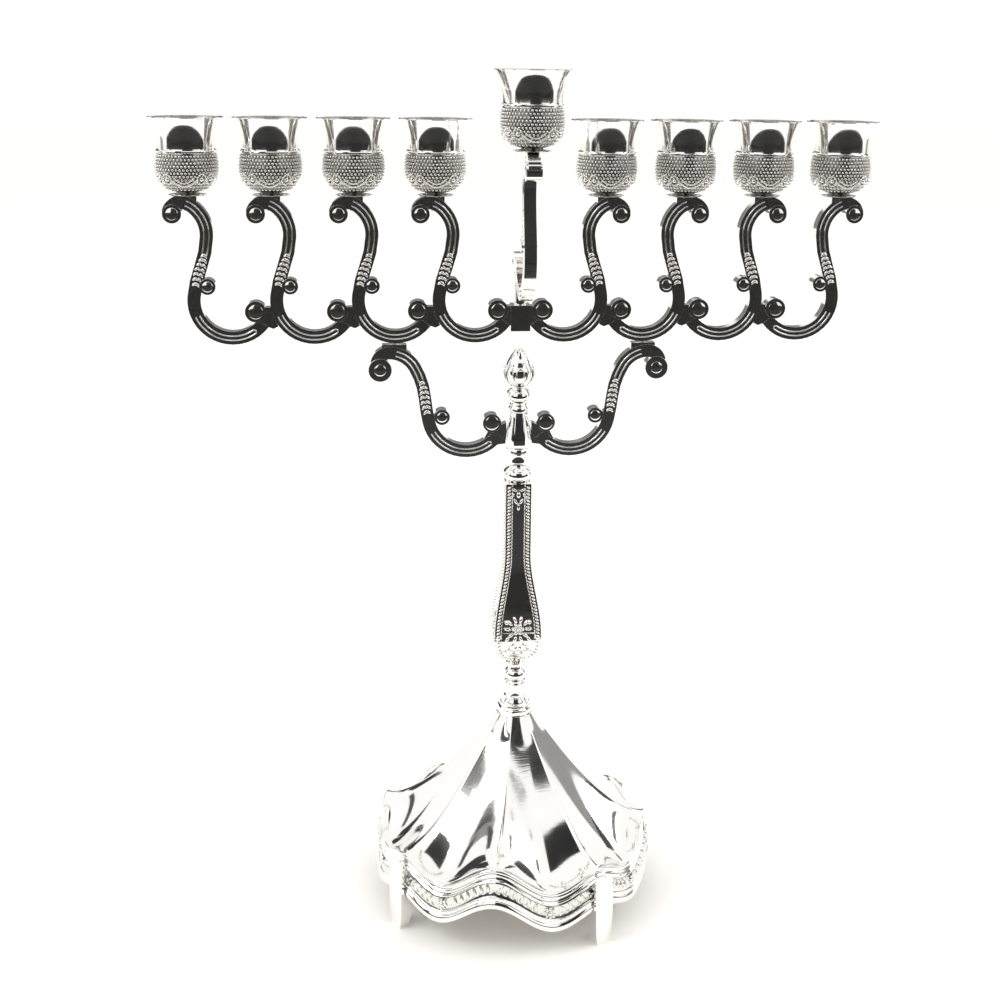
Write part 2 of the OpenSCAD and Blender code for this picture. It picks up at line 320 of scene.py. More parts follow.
def silver(name, roughness, recessDepth):
    f = Finish(name)
    look = silverLook
    recess = f.node("ShaderNodeAttribute", {"attribute_name": "recess"}, out=2)
    cloud = f.noise(look["cloudScale"], 4.0)
    speck = f.noise(look["speckScale"], 2.0)
    scratch = f.noise(look["scratchScale"], 2.0, look["scratchStretch"])
    haze = (cloud * 2.2 - 0.75).clamped()
    tone = f.node("ShaderNodeMix", {"data_type": "RGBA"},
                  {"Factor": haze * 0.22, "A": (*look["bright"], 1), "B": (*look["toned"], 1)}, out=2)
    # painted shade: the recess attribute darkens the colour towards the recessed colour, with a random
    # speckle
    paintedShade = (recess * recessDepth + recess * (speck - 0.5) * 0.8).clamped()
    colour = f.node("ShaderNodeMix", {"data_type": "RGBA"},
                    {"Factor": paintedShade, "A": tone, "B": (*look["recessed"], 1)}, out=2)
    rough = roughness + haze * look["smudge"] + (scratch - 0.5) * 0.05 + recess * 0.25
    bump = f.node("ShaderNodeBump", {},
                  {"Strength": 0.05, "Distance": 0.0001, "Height": scratch + speck * 0.4})
    f.feed(Base_Color=colour, Metallic=1.0, Roughness=rough.clamped(), Normal=bump)
    return f.material


def zincSteel():
    f = Finish("zincSteel")
    look = steelLook
    brushed = f.noise(look["brushScale"], 3.0, look["brushStretch"])
    patch = f.noise(look["patchScale"], 3.0)
    colour = f.node("ShaderNodeMix", {"data_type": "RGBA"},
                    {"Factor": (patch * 1.6 - 0.4).clamped(), "A": (*look["light"], 1),
                     "B": (*look["dark"], 1)}, out=2)
    bump = f.node("ShaderNodeBump", {}, {"Strength": 0.15, "Distance": 0.0001, "Height": brushed})
    f.feed(Base_Color=colour, Metallic=1.0, Roughness=look["roughness"] + brushed * 0.2, Normal=bump)
    return f.material


brightSilver = silver("brightSilver", silverLook["roughness"], silverLook["paintedShade"])
ornamentSilver = silver("ornamentSilver", silverLook["ornamentRoughness"], silverLook["ornamentPaintedShade"])
steel = zincSteel()
print("finishes made")


def finishPiece(piece, body, slot, material, *nodes):
    piece.data.materials.clear()
    piece.data.materials.append(material)
    for face in piece.data.polygons:
        face.material_index = 0
    if not piece.data.attributes.get("recess"):
        setRecess(piece, 0.0)
    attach(piece, body)
    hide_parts(*nodes)
    return piece


def finishStand(piece, node):
    return finishPiece(piece, "stand", "bright_silver", brightSilver, node)


def middle(node):
    # centre, lowest and highest point of a CAD node, in millimetres
    low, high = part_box(node)
    return [(low[i] + high[i]) / 2 / mm for i in range(3)], low[2] / mm, high[2] / mm


def foot(node):
    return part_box(node)[0][2] / mm


def raised(points, low):
    return [(r, z + low) for r, z in points]


view = {"turn": -6.5, "pitch": 12.0, "roll": 0.75, "distance": 600.0, "height": 361.0, "lens": 53.64,
        "shiftX": -0.019, "shiftY": -0.1365}


def addCamera():
    turn, pitch = math.radians(view["turn"]), math.radians(view["pitch"])
    data = bpy.data.cameras.new("camera")
    data.lens = view["lens"]
    data.sensor_width = 36
    data.shift_x, data.shift_y = view["shiftX"], view["shiftY"]
    data.clip_start = 0.01
    camera = bpy.data.objects.new("camera", data)
    bpy.context.scene.collection.objects.link(camera)
    place = about("Z", turn) @ Vector((0, -view["distance"] * mm, view["height"] * mm))
    camera.matrix_world = (Matrix.Translation(place) @ about("Z", turn) @ about("X", math.pi / 2 - pitch)
                           @ about("Z", math.radians(view["roll"])))
    bpy.context.scene.camera = camera


addCamera()

baseSize = {
    "lip": 60.0, "dome": 56.0, "creaseHeight": 34.0, "archLift": 3.0, "neckDip": 0.8, "rimDip": 8.0,
    "top": 80.3, "neck": 8.0, "hole": 5.0, "wall": 2.0, "turn": -13.5, "steps": 256, "rings": 30,
    # the rim band, as steps out from the dome's edge and down from it
    "rim": [(0.7, 0.25), (1.25, 0.0), (1.5, -0.7), (1.3, -1.3), (0.8, -1.6), (0.9, -2.0), (1.5, -2.3),
            (1.8, -2.9), (1.5, -3.5), (1.1, -3.8), (1.3, -4.1), (2.0, -4.4), (2.2, -5.0), (1.95, -5.4),
            (1.8, -5.8), (2.15, -8), (2.5, -10.2), (2.9, -10.9), (3.4, -11.1), (3.5, -11.9), (3.1, -12.3),
            (3.6, -12.8), (4.0, -13.6), (4.0, -14.9), (3.7, -15.5), (2.4, -15.5), (2.0, -15.0),
            (1.2, -11.5), (-0.6, -4.4)],
    "bandTop": -5.5, "bandFoot": -10.3, "bandOut": 1.6, "bandShade": 0.3,
}


def hollowShare(angle, q):
    # 0 on a crease and 1 in the middle of a panel: sharp creases at the neck, soft ones at the rim
    share = abs((angle + 360 + 22.5) % 45 - 22.5) / 22.5
    sharp = 1 - (1 - share) ** 2
    soft = (1 - math.cos(math.pi * share)) / 2
    return sharp * (1 - q * q) + soft * q * q


def domeZ(r, angle):
    b = baseSize
    q = min(1.0, max(0.0, (r - b["neck"]) / (b["dome"] - b["neck"])))
    dip = b["neckDip"] + (b["rimDip"] - b["neckDip"]) * q
    return (b["creaseHeight"] + (b["top"] - b["creaseHeight"]) * (1 - q) ** 1.5
            + b["archLift"] * math.cos(math.radians(4 * angle)) * q * q
            - dip * hollowShare(angle, q) * min(1, 8 * q))


def bandShade(co):
    # painted shade on the ground behind the leaves of the rim band, which is also made rougher
    b = baseSize
    angle = math.degrees(math.atan2(co.x, -co.y)) - b["turn"]
    down = co.z / mm - domeZ(b["dome"], angle)
    outside = math.hypot(co.x, co.y) / mm > b["dome"] + b["bandOut"]
    return b["bandShade"] if outside and b["bandFoot"] < down < b["bandTop"] else 0.0


def makeBase():
    # a round shell is spun first, then lifted to the wave of the dome
    b = baseSize
    under, span = -b["wall"], b["dome"] - b["neck"]
    dome = [(b["neck"] + span * (i / b["rings"]) ** 1.1, 0) for i in range(1, b["rings"] + 1)]
    line = [(b["hole"], under), (b["hole"], 0), (b["neck"], 0)] + dome
    line += [(b["dome"] + out, down) for out, down in b["rim"]]
    line += [(r - b["wall"] / 2, under) for r, _ in dome[-2:0:-2]]
    line += [(b["neck"] - 0.7, under), (b["hole"], under)]
    shell = lathe("base", line, b["steps"])
    for vert in shell.data.vertices:
        angle = math.degrees(math.atan2(vert.co.x, -vert.co.y))
        vert.co.z += domeZ(math.hypot(vert.co.x, vert.co.y) / mm, angle) * mm
    moved(shell, about("Z", math.radians(b["turn"])))
    smooth(shell, 50)
    return setRecess(shell, bandShade)


reliefSize = {
    "lobes": 8, "down": -8.0, "petals": 8, "flower": 1.75, "petal": (0.95, 0.6, 0.62),
    "eye": (1.0, 0.8, 1.0), "leaf": (1.25, 0.65, 0.5),
    "leaves": 13, "leafStart": 4.6, "leafSpan": 18, "leafLift": 0.9, "leafTilt": 38,
    "beads": 208, "beadDown": -11.4, "bead": (0.62, 0.55, 0.85),
}


def onRim(angle, out, down):
    # a place on the rim band, turned to face outwards; the angle is from the front crease
    turn = math.radians(angle + baseSize["turn"])
    r = baseSize["dome"] + out
    spot = Vector((r * math.sin(turn), -r * math.cos(turn), domeZ(baseSize["dome"], angle) + down))
    return Matrix.Translation(spot * mm) @ about("Z", turn)


def makeRimRelief():
    w = reliefSize
    leaves = []
    for lobe in range(w["lobes"]):
        centre = 22.5 + 45 * lobe
        leaves.append(onRim(centre, 2.5, w["down"]) @ at(0, 0, 0, *w["eye"]))
        for petal in range(w["petals"]):
            a = 2 * math.pi * petal / w["petals"]
            side = math.degrees(w["flower"] * math.cos(a) / baseSize["dome"])
            spot = onRim(centre + side, 2.4, w["down"] + w["flower"] * math.sin(a))
            leaves.append(spot @ at(0, 0, 0, *w["petal"], about("Y", -a)))
        for k in range(w["leaves"]):
            up = 1 if k % 2 else -1
            for side in (-1, 1):
                angle = centre + side * (w["leafStart"] + w["leafSpan"] * k / w["leaves"])
                spot = onRim(angle, 2.3, w["down"] + up * w["leafLift"])
                tilt = about("Y", math.radians(side * up * w["leafTilt"]))
                leaves.append(spot @ at(0, 0, 0, *w["leaf"], tilt))
    beads = [onRim(360 * k / w["beads"], 2.95, w["beadDown"]) @ at(0, 0, 0, *w["bead"])
             for k in range(w["beads"])]
    return [grains("rimLeaves", leaves, "small"), grains("rimBeads", beads)]


finishStand(joined([makeBase()] + makeRimRelief(), "base_shell"), "base")
print("base made")

footSize = {"width": 9.0, "deep": 4.4, "cuts": 5, "toe": 0.8, "round": 1.4, "heel": 3.0, "flange": -0.4,
            "face": 0.45, "belly": 2.5}


def makeFoot(node):
    f = footSize
    (x, y, _), low, high = middle(node)
    tall = high - low
    clear()
    bpy.ops.mesh.primitive_cube_add(size=1, location=(0, 0, tall / 2 * mm),
                                    scale=(f["width"] * mm, f["deep"] * mm, tall * mm))
    leg = applyPlace(bpy.context.object)
    editMode(leg)
    bpy.ops.mesh.select_all(action="SELECT")
    bpy.ops.mesh.subdivide(number_cuts=f["cuts"])
    bpy.ops.object.mode_set(mode="OBJECT")
    for vert in leg.data.vertices:
        t = vert.co.z / mm / tall
        vert.co.x *= 0.86 + 0.14 * t + 0.08 * math.sin(math.pi * min(1, t * 1.15))
        if t < 0.02:
            vert.co.x *= f["toe"]
        side = vert.co.x / (f["width"] / 2 * mm)
        if vert.co.y < 0:  # the crowned outer face
            crown = (1 - 0.45 * side * side) * math.sin(math.pi * (0.14 + 0.8 * t)) ** 0.6
            vert.co.y = -(f["face"] + f["belly"] * crown) * mm
        else:
            vert.co.y = (f["heel"] if t < 0.5 else f["flange"]) * mm
    bevelled(leg, f["round"], 4, 50)
    moved(leg, about("Z", math.atan2(x, -y)) @ Matrix.Translation((0, -baseSize["lip"] * mm, low * mm)))
    smooth(leg, 60)
    leg.name = f"{node}_leg"
    finishStand(leg, node)


for number in range(1, 5):
    makeFoot(f"foot_{number}")
print("feet made")

# turned outlines as radius and height, closed on the bore of the tie rod
collarSize = {
    "plate": [(2.1, 0), (7.7, 0), (8.0, 0.5), (8.0, 2.3), (7.2, 3.1), (6.6, 3.4), (2.1, 3.4), (2.1, 0)],
    "ring": [(2.1, 3.4), (6.1, 3.4), (6.4, 3.9), (6.35, 4.5), (5.7, 4.8), (5.6, 5.2), (5.2, 6.0), (4.7, 6.8),
             (4.6, 7.2), (2.1, 7.2), (2.1, 3.4)],
    "spigot": [(2.1, -2), (4.9, -2), (4.9, 0), (2.1, 0), (2.1, -2)],
}
knopSize = {
    "lower": [(2.1, 0), (4.6, 0), (4.7, 0.4), (4.1, 0.9), (4.0, 1.6), (4.0, 5.4), (4.2, 5.9), (4.7, 6.2),
              (4.5, 6.7), (3.4, 7.1), (3.5, 7.6), (4.4, 8.3), (4.95, 9.3), (5.0, 10.2), (4.8, 11.2),
              (4.1, 12.2), (3.2, 12.8), (3.1, 13.3), (3.9, 13.9), (4.2, 14.6), (4.1, 15.5), (3.3, 16.2),
              (3.0, 16.8), (2.1, 16.8), (2.1, 0)],
    "upper": [(2.1, 0), (4.4, 0), (4.8, 0.4), (4.7, 0.9), (5.3, 1.3), (6.1, 2.2), (6.35, 3.4), (6.1, 4.6),
              (5.3, 5.5), (4.4, 6.1), (3.8, 6.9), (3.7, 7.7), (4.2, 8.3), (4.3, 8.8), (4.2, 9.4),
              (4.2, 11.4), (4.4, 11.9), (4.2, 12.4), (3.9, 12.6), (2.1, 12.6), (2.1, 0)],
}


def turned(name, points, low, angle=40, steps=96, turn=0.0, edge=0.0, sharp=20):
    # a lathe piece with its edges eased if it has flat sides
    piece = lathe(name, raised(points, low), steps, turn)
    if edge:
        bevelled(piece, edge, 2, sharp)
    return setRecess(smooth(piece, angle), 0.0)


low = foot("dome_collar") + baseSize["wall"]
finishStand(joined([
    turned("collarPlate", collarSize["plate"], low, 30, 8, baseSize["turn"] - 90, 0.25),
    turned("collarRing", curvePoints(collarSize["ring"], 3), low),
    turned("collarSpigot", collarSize["spigot"], low),
], "neck_collar"), "dome_collar")
finishStand(turned("small_knop", knopSize["lower"], foot("lower_knop"), 32), "lower_knop")
finishStand(turned("cushion_knop", knopSize["upper"], foot("upper_knop"), 32), "upper_knop")
print("collar and knops made")

stemSize = {
    "narrow": 5.3, "round": 9.75, "swellTop": 48, "swell": 34, "border": 2.5, "step": 0.35, "sink": 0.55,
    "panelFoot": 12.5, "edge": 0.35,
    "rings": [0.15, 0.5, 1.2, 2.2, 3.6, 5.4, 7.5, 9.75, 12, 15, 18, 21, 24, 27, 30, 33, 36, 39, 42, 45, 48,
              54, 60, 66, 72],
    "beadStart": 10.6, "beadGap": 1.42, "beadIn": 1.35,
    "feather": (1.05, 0.42, 0.48), "dot": (0.3, 0.3, 0.42),
    "gadroons": 17, "gadroonStep": 12, "gadroonOut": 8.3, "gadroon": (1.3, 0.5, 0.55),
    "flower": 16.5, "flowerOut": 1.6, "petal": (1.1, 0.9, 0.8), "eye": (0.8, 1.2, 0.8),
    "notch": (8.2, 13.0, 30),
    # leaves round the flower: across, height, length and tilt
    "spray": [(3.1, 13.9, 1.6, 35), (4.4, 16.6, 1.5, -5), (3.4, 19.2, 1.6, -40), (1.3, 12.2, 1.5, 62),
              (1.2, 20.4, 1.5, -68), (4.6, 12.2, 1.2, 50), (2.6, 9.6, 1.5, 30), (0.9, 8.2, 1.3, 70),
              (4.9, 19.4, 0.9, -60), (4.0, 7.6, 1.1, 45), (1.6, 5.6, 1.0, 20)],
    # scrolls at the top: across, distance below the top, length and tilt
    "crest": [(1.9, 2.4, 1.5, -30), (2.8, 5.4, 1.5, 50), (1.2, 7.6, 1.4, -55)],
    "diamond": [(4.8, (0.9, 0.6, 1.3), 0.2), (10, (0.7, 0.5, 1.5), 0.3)],
}


def stemHalf(z):
    # half the width of the stem at a height above its foot
    s = stemSize
    if z < s["round"]:
        return math.sqrt(max(0.0, s["round"] ** 2 - (s["round"] - z) ** 2))
    t = min(1.0, max(0.0, (s["swellTop"] - z) / s["swell"]))
    return s["narrow"] + (s["round"] - s["narrow"]) * t * t * (3 - 2 * t)


def sinkPanel(body, turn, tall):
    # the faces of one side are picked by their direction, then inset twice
    s = stemSize
    direction = about("Z", turn) @ Vector((0, -1, 0))
    editMode(body, "FACE")
    bpy.ops.mesh.select_all(action="DESELECT")
    bpy.ops.object.mode_set(mode="OBJECT")
    for face in body.data.polygons:
        flat = Vector((face.normal.x, face.normal.y, 0))
        face.select = (flat.length > 0.3 and flat.normalized().dot(direction) > 0.95
                       and s["panelFoot"] < face.center.z / mm < tall - 0.5)
    bpy.ops.object.mode_set(mode="EDIT")
    bpy.ops.mesh.inset(thickness=s["border"] * mm, depth=0)
    bpy.ops.mesh.inset(thickness=s["step"] * mm, depth=-s["sink"] * mm)
    bpy.ops.object.mode_set(mode="OBJECT")


def stemOrnament(tall, low):
    # beads and leaves of all four sides
    s = stemSize
    beads, leaves = [], []
    for quarter in range(4):
        spin = about("Z", quarter * math.pi / 2)

        def put(out, x, z, size, tilt=0.0, lift=0.0):
            spot = at(x, -stemHalf(z) + lift, z + low, *size, about("Y", math.radians(tilt)))
            out.append(spin @ spot)

        z = s["beadStart"]
        while z < tall - 1:
            edge = stemHalf(z) - s["beadIn"]
            for side in (-1, 1):
                put(beads, side * edge, z, s["feather"], side * 28)
                put(beads, side * (edge - s["beadIn"]), z + 0.7, s["dot"])
            z += s["beadGap"]
        for k in range(s["gadroons"]):
            angle = -90 + (k - s["gadroons"] // 2) * s["gadroonStep"]
            a = math.radians(angle)
            spot = s["gadroonOut"] * math.cos(a), s["round"] + s["gadroonOut"] * math.sin(a)
            put(beads, *spot, s["gadroon"], -angle)
        for k in range(6):
            a = k * math.pi / 3
            spot = s["flowerOut"] * math.cos(a), s["flower"] + s["flowerOut"] * math.sin(a)
            put(leaves, *spot, s["petal"], -math.degrees(a))
        put(leaves, 0, s["flower"], s["eye"])
        for side in (-1, 1):
            x, z, tilt = s["notch"]
            put(leaves, side * x, z, (1.5, 0.9, 0.9), side * tilt)
            for x, z, size, tilt in s["spray"]:
                put(leaves, side * x, z, (size, 0.6, 0.7), side * tilt)
            for x, down, size, tilt in s["crest"]:
                put(leaves, side * x, tall - down, (size, 0.5, 0.6), side * tilt, 0.3)
        for down, size, lift in s["diamond"]:
            put(leaves, 0, tall - down, size, 0, lift)
    return [grains("stemBeads", beads), grains("stemLeaves", leaves, "small")]


def makeStem():
    _, low, high = middle("stem")
    tall = high - low
    rings = stemSize["rings"] + [tall]
    line = [(0, rings[0])] + [(stemHalf(z) * math.sqrt(2), z) for z in rings] + [(0, tall)]
    body = lathe("stemBody", line, 4, 45)
    for quarter in range(4):
        sinkPanel(body, quarter * math.pi / 2, tall)
    bevelled(body, stemSize["edge"], 2, 50)
    smooth(body, 28)
    setRecess(moved(body, Matrix.Translation((0, 0, low * mm))), 0.0)
    finishStand(joined([body] + stemOrnament(tall, low), "baluster"), "stem")


makeStem()
print("stem made")

hubSize = {
    "ring": [(2.1, 0), (4.7, 0), (5.1, 0.4), (5.1, 1.6), (4.7, 2.1), (2.1, 2.1), (2.1, 0)],
    "vase": [(2.1, 2.1), (4.9, 2.1), (5.7, 3.0), (6.1, 4.3), (5.9, 7), (5.1, 11), (4.3, 15), (4.0, 17.3),
             (2.1, 17.3), (2.1, 2.1)],
    "top": [(2.1, 17.3), (4.0, 17.3), (4.4, 18.2), (4.3, 19.2), (3.7, 20.1), (3.6, 20.5), (2.1, 20.5),
            (2.1, 17.3)],
}
low = foot("hub")
finishStand(joined([
    turned("hubRing", hubSize["ring"], low),
    turned("hubVase", hubSize["vase"], low, 30, 8, 22.5, 0.25, 25),
    turned("hubTop", curvePoints(hubSize["top"], 3), low),
], "hub_vase"), "hub")

finialSize = {
    "bud": [(0, 0), (3.6, 0), (3.4, 0.9), (4.2, 1.7), (5.1, 3.0), (5.2, 4.2), (4.7, 5.6), (3.4, 6.7),
            (3.1, 7.3), (3.5, 8.2), (5.2, 10.2), (6.1, 12.8), (5.9, 15.4), (4.7, 18.4), (3.0, 21.2),
            (1.3, 23.2), (0, 24)],
    "leafFoot": 8.0, "frontTip": 16.2, "cornerTip": 18.6, "belly": 6.3, "bellyHeight": 12.8, "spread": 0.36,
    "curl": (1.35, 0.65, 0.8), "wire": 0.3,
}


def makeFinial():
    f = finialSize
    low = foot("finial")
    bud = turned("bud", [(max(0, r), z) for r, z in curvePoints(f["bud"], 3)], low, 40, 64)
    curls, edges = [], []
    for k in range(8):
        turn = math.radians(45 * k)
        tip = f["cornerTip"] if k % 2 else f["frontTip"]
        path = []
        for j in range(17):
            t = (j - 8) / 8
            z = f["leafFoot"] + (tip - f["leafFoot"]) * (1 - abs(t) ** 2.2)
            away = z - f["bellyHeight"]
            r = f["belly"] - 0.075 * away ** 2 * (1 if away > 0 else 1.6)
            a = turn + f["spread"] * math.copysign(abs(t) ** 0.7, t)
            path.append((r * math.sin(a), -r * math.cos(a), low + z))
        edges.append(path)
        if k % 2 == 0:
            curls.append(about("Z", turn) @ at(0, -5.9, low + tip - 0.6, *f["curl"]))
    parts = [bud, grains("budCurls", curls, "small"), wire("leafEdges", edges, f["wire"])]
    finishStand(joined(parts, "bud_finial"), "finial")


makeFinial()
print("hub and finial made")

# start, heading and arcs draw the centre line in the arm's own plane: each arc is a radius and a sweep;
# veins and leaf are shares of its length
armShape = {
    "start": (-7.4, -6.6), "heading": 80, "thick": 4.8,
    "arcs": [(4.8, -80), (6.5, -35), (14, -58), (40, -18), (50, 14), (15, 150)],
    "eyes": [((-6.1, -7.1), 2.6), ((25.4, -46.2), 3.1), ((6.8, -36), 2.3)],
    "veins": [((0.10, 0.355), 0.95), ((0.655, 0.94), 0.85)], "leaf": (0.37, 0.52),
    "web": [(26.2, -49), (27, -44.6), (31.4, -44.6), (33.5, -50.4), (34.3, -52.2), (32.4, -53.2), (29, -52)],
}
bracketShape = {
    "start": (-58.3, -7.5), "heading": 80, "thick": 4.8,
    "arcs": [(5, -80), (12, -60), (32, -24), (100, 6), (16, 132)],
    "eyes": [((-57, -10.4), 2.6), ((-11.2, -33.2), 3.1), ((-31.8, -30.4), 2.3)],
    "veins": [((0.12, 0.32), 0.95), ((0.60, 0.94), 0.85)], "leaf": (0.335, 0.50),
    "web": [(-14.5, -40), (-12.5, -36.2), (-5.2, -33.2), (-5.2, -42), (-9.5, -42.6)],
}
castingSize = {
    "eyeLift": 0.4, "eyeDome": 0.55, "veinWire": 0.27, "veinSink": 0.02, "leafStep": 2, "leafTurn": 0.75,
    "spine": (0.5, 0.5, 0.9), "leaflet": (1.15, 0.55, 0.5), "armEdge": 0.75, "blockEdge": 0.5,
}


def chain(shape, step=1.0):
    # the centre line as evenly spaced points with their headings
    x, z = shape["start"]
    heading = math.radians(shape["heading"])
    out = [(x, z, heading)]
    for radius, sweep in shape["arcs"]:
        sign = 1 if sweep > 0 else -1
        count = max(2, round(radius * math.radians(abs(sweep)) / step))
        cx, cz = x - sign * radius * math.sin(heading), z + sign * radius * math.cos(heading)
        for i in range(1, count + 1):
            g = heading + math.radians(sweep) * i / count
            out.append((cx + sign * radius * math.sin(g), cz - sign * radius * math.cos(g), g))
        x, z, heading = out[-1]
    return out


def section(line, span):
    return [round(share * (len(line) - 1)) for share in span]


def hairpin(line, span, half, y):
    # down one side of the strap, round the end and back up the other
    first, last = section(line, span)
    cut = line[first:last + 1]
    side = [(x - half * math.sin(g), y, z + half * math.cos(g)) for x, z, g in cut]
    back = [(x + half * math.sin(g), y, z - half * math.cos(g)) for x, z, g in reversed(cut)]
    x, z, g = cut[-1]
    tip = [(x - half * math.sin(g - a), y, z + half * math.cos(g - a)) for a in (0.5, 1.05, 1.57, 2.1, 2.6)]
    return side + tip + back


def webPlate(points, thick, name):
    # the web that joins the end of a strap to its neighbour
    clear()
    bpy.ops.mesh.primitive_circle_add(vertices=len(points), radius=mm, fill_type="NGON")
    plate = bpy.context.object
    for vert, (x, z) in zip(plate.data.vertices, points):
        vert.co = (x * mm, -thick / 2 * mm, z * mm)
    editMode(plate)
    bpy.ops.mesh.select_all(action="SELECT")
    bpy.ops.mesh.extrude_region_move(TRANSFORM_OT_translate={"value": (0, thick * mm, 0)})
    bpy.ops.mesh.select_all(action="SELECT")
    bpy.ops.mesh.normals_make_consistent(inside=False)
    bpy.ops.object.mode_set(mode="OBJECT")
    plate.name = name
    return setRecess(plate, 0.0)


def armOrnament(shape, name, webbed=True):
    c = castingSize
    line = chain(shape)
    half = shape["thick"] / 2
    first, last = section(line, shape["leaf"])
    eyes, leaves, veins = [], [], []
    for face in (-1, 1):
        for (x, z), size in shape["eyes"]:
            eyes.append(at(x, face * (half + c["eyeLift"]), z, size, c["eyeDome"], size))
        for span, gap in shape["veins"]:
            veins.append(hairpin(line, span, gap, face * (half - c["veinSink"])))
        for i in range(first, last, c["leafStep"]):
            x, z, g = line[i]
            swell = math.sin(math.pi * (i - first) / (last - first)) * 0.8 + 0.5
            leaves.append(at(x, face * half, z, *c["spine"], about("Y", -g)))
            for side in (-1, 1):
                spot = x - side * swell * math.sin(g), face * half, z + side * swell * math.cos(g)
                leaves.append(at(*spot, *c["leaflet"], about("Y", -g - side * c["leafTurn"])))
    parts = [grains(name + "Eyes", eyes, "fine"), grains(name + "Leaves", leaves, "small"),
             wire(name + "Veins", veins, c["veinWire"])]
    if webbed:
        parts.append(webPlate(shape["web"], shape["thick"] - 0.1, name + "Web"))
    return joined(parts, name)


def seatOf(cup):
    (x, y, _), seat, _ = middle(cup)
    return Matrix.Translation((x * mm, y * mm, seat * mm))


def dressArm(node, name, body, trim, place):
    shape = cadCopy(node, name + "Shape", castingSize["armEdge"])
    extra = moved(copyOf(trim, name + "Trim"), place)
    finishPiece(joined([shape, extra], name), body, "antique_silver", ornamentSilver, node)


armTrim = armOrnament(armShape, "armTrim")
frontTrim = armOrnament(armShape, "frontTrim", webbed=False)
bracketTrim = armOrnament(bracketShape, "bracketTrim")
padTop = Matrix.Translation((0, 0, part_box("lower_arm_left")[1][2]))
for side, way in (("left", Matrix.Identity(4)), ("right", Matrix.Diagonal((-1, 1, 1, 1)))):
    for i in range(1, 5):
        cup = i if side == "left" else 9 - i
        dressArm(f"arm_{side}_{i}", f"scroll_arm_{side}_{i}", "stand", armTrim, seatOf(f"cup_{cup}") @ way)
    dressArm(f"lower_arm_{side}", f"bracket_{side}", "stand", bracketTrim, padTop @ way)
dressArm("shamash_arm", "front_scroll_arm", "shamash_arm", frontTrim,
         seatOf("shamash_cup") @ about("Z", math.pi / 2))
for spare in (armTrim, frontTrim, bracketTrim):
    bpy.data.objects.remove(spare)
for node, name in (("centre_block", "middle_block"), ("shamash_post", "front_post")):
    block = cadCopy(node, name, castingSize["blockEdge"])
    finishPiece(block, "stand", "antique_silver", ornamentSilver, node)
print("arms made")

cupSize = {
    "bore": 1.65, "gap": 0.08, "socket": 9.5, "floor": 9.0, "cone": 24.0, "steps": 96,
    "foot": [(7.0, 0.08), (7.3, 0.25), (7.0, 0.5), (5.2, 0.75), (4.3, 1.0), (4.1, 1.3)],
    "bulb": [(4.4, 1.5), (6.4, 1.9), (9.2, 3.7), (11.2, 6.6), (12.1, 10.0), (12.05, 13.2), (11.5, 16.9)],
    "ridge": [(11.3, 16.9), (11.75, 17.2), (11.8, 17.6), (11.3, 17.9), (11.15, 18.3)],
    "flare": [(11.15, 18.5), (11.2, 20.5), (11.5, 23), (12.2, 25.6), (13.3, 28.2), (14.4, 30.0)],
    "lip": [(14.62, 30.3), (14.6, 30.55), (14.2, 30.6)],
    "inside": [(13.7, 30.2), (12.2, 27.8), (10.6, 25.6), (9.5, 24.0)],
    "rows": 11, "rowStart": 2.9, "rowGap": 1.28, "beadPitch": 1.42, "bead": 0.62, "beadDeep": 0.55,
    "beadSpread": (0.88, 1.08), "seed": 7,
    "swags": 4, "swagLeaves": 17, "swagFoot": 4.3, "swagReach": 0.42, "swagEdges": ((0, 1.0), (1.25, 0.8)),
    "rosetteAside": 0.19, "rosetteHeight": 7.0, "rosetteOut": 1.9, "petals": 9, "eye": (0.95, 1.1, 0.95),
    "petal": (0.42, 0.9, 0.72),
}
bulbLine = curvePoints(cupSize["bulb"], 8)


def bulbRadius(z):
    # radius of the bulb at a height above the seat
    for (r0, z0), (r1, z1) in zip(bulbLine, bulbLine[1:]):
        if z <= z1:
            return r0 + (r1 - r0) * max(0.0, z - z0) / max(1e-6, z1 - z0)
    return bulbLine[-1][0]


def onBulb(angle, z, size, tilt=0.0):
    return about("Z", angle) @ at(0, -bulbRadius(z) + 0.1, z, *size, about("Y", tilt))


def cupShade(co):
    # painted shade on the bulb behind the beads and inside the cup, and lighter painted shade at the waist
    # and under the foot; these places are also made rougher
    r, z = math.hypot(co.x, co.y) / mm, co.z / mm
    inSocket = z > cupSize["floor"] - 0.1 and r < cupSize["socket"] + 0.1
    inCone = z > cupSize["cone"] and r < 9.6 + (z - cupSize["cone"]) * 0.69
    if inSocket or inCone or (1.8 < z < 16.7 and r > 5.5):
        return 1.0
    return 0.6 if z < 1.8 and r < 5.5 else 0.0


def cupBeads():
    c = cupSize
    random.seed(c["seed"])
    beads = []
    for row in range(c["rows"]):
        z = c["rowStart"] + row * c["rowGap"]
        r = bulbRadius(z) - 0.25
        count = max(12, round(2 * math.pi * r / c["beadPitch"]))
        for k in range(count):
            a = 2 * math.pi * (k + 0.5 * (row % 2)) / count
            size = c["bead"] * random.uniform(*c["beadSpread"])
            beads.append(about("Z", a) @ at(0, -r, z, size, c["beadDeep"], size))
    # the beads get a little painted shade too
    return grains("cupBeads", beads, "tiny", 0.12)


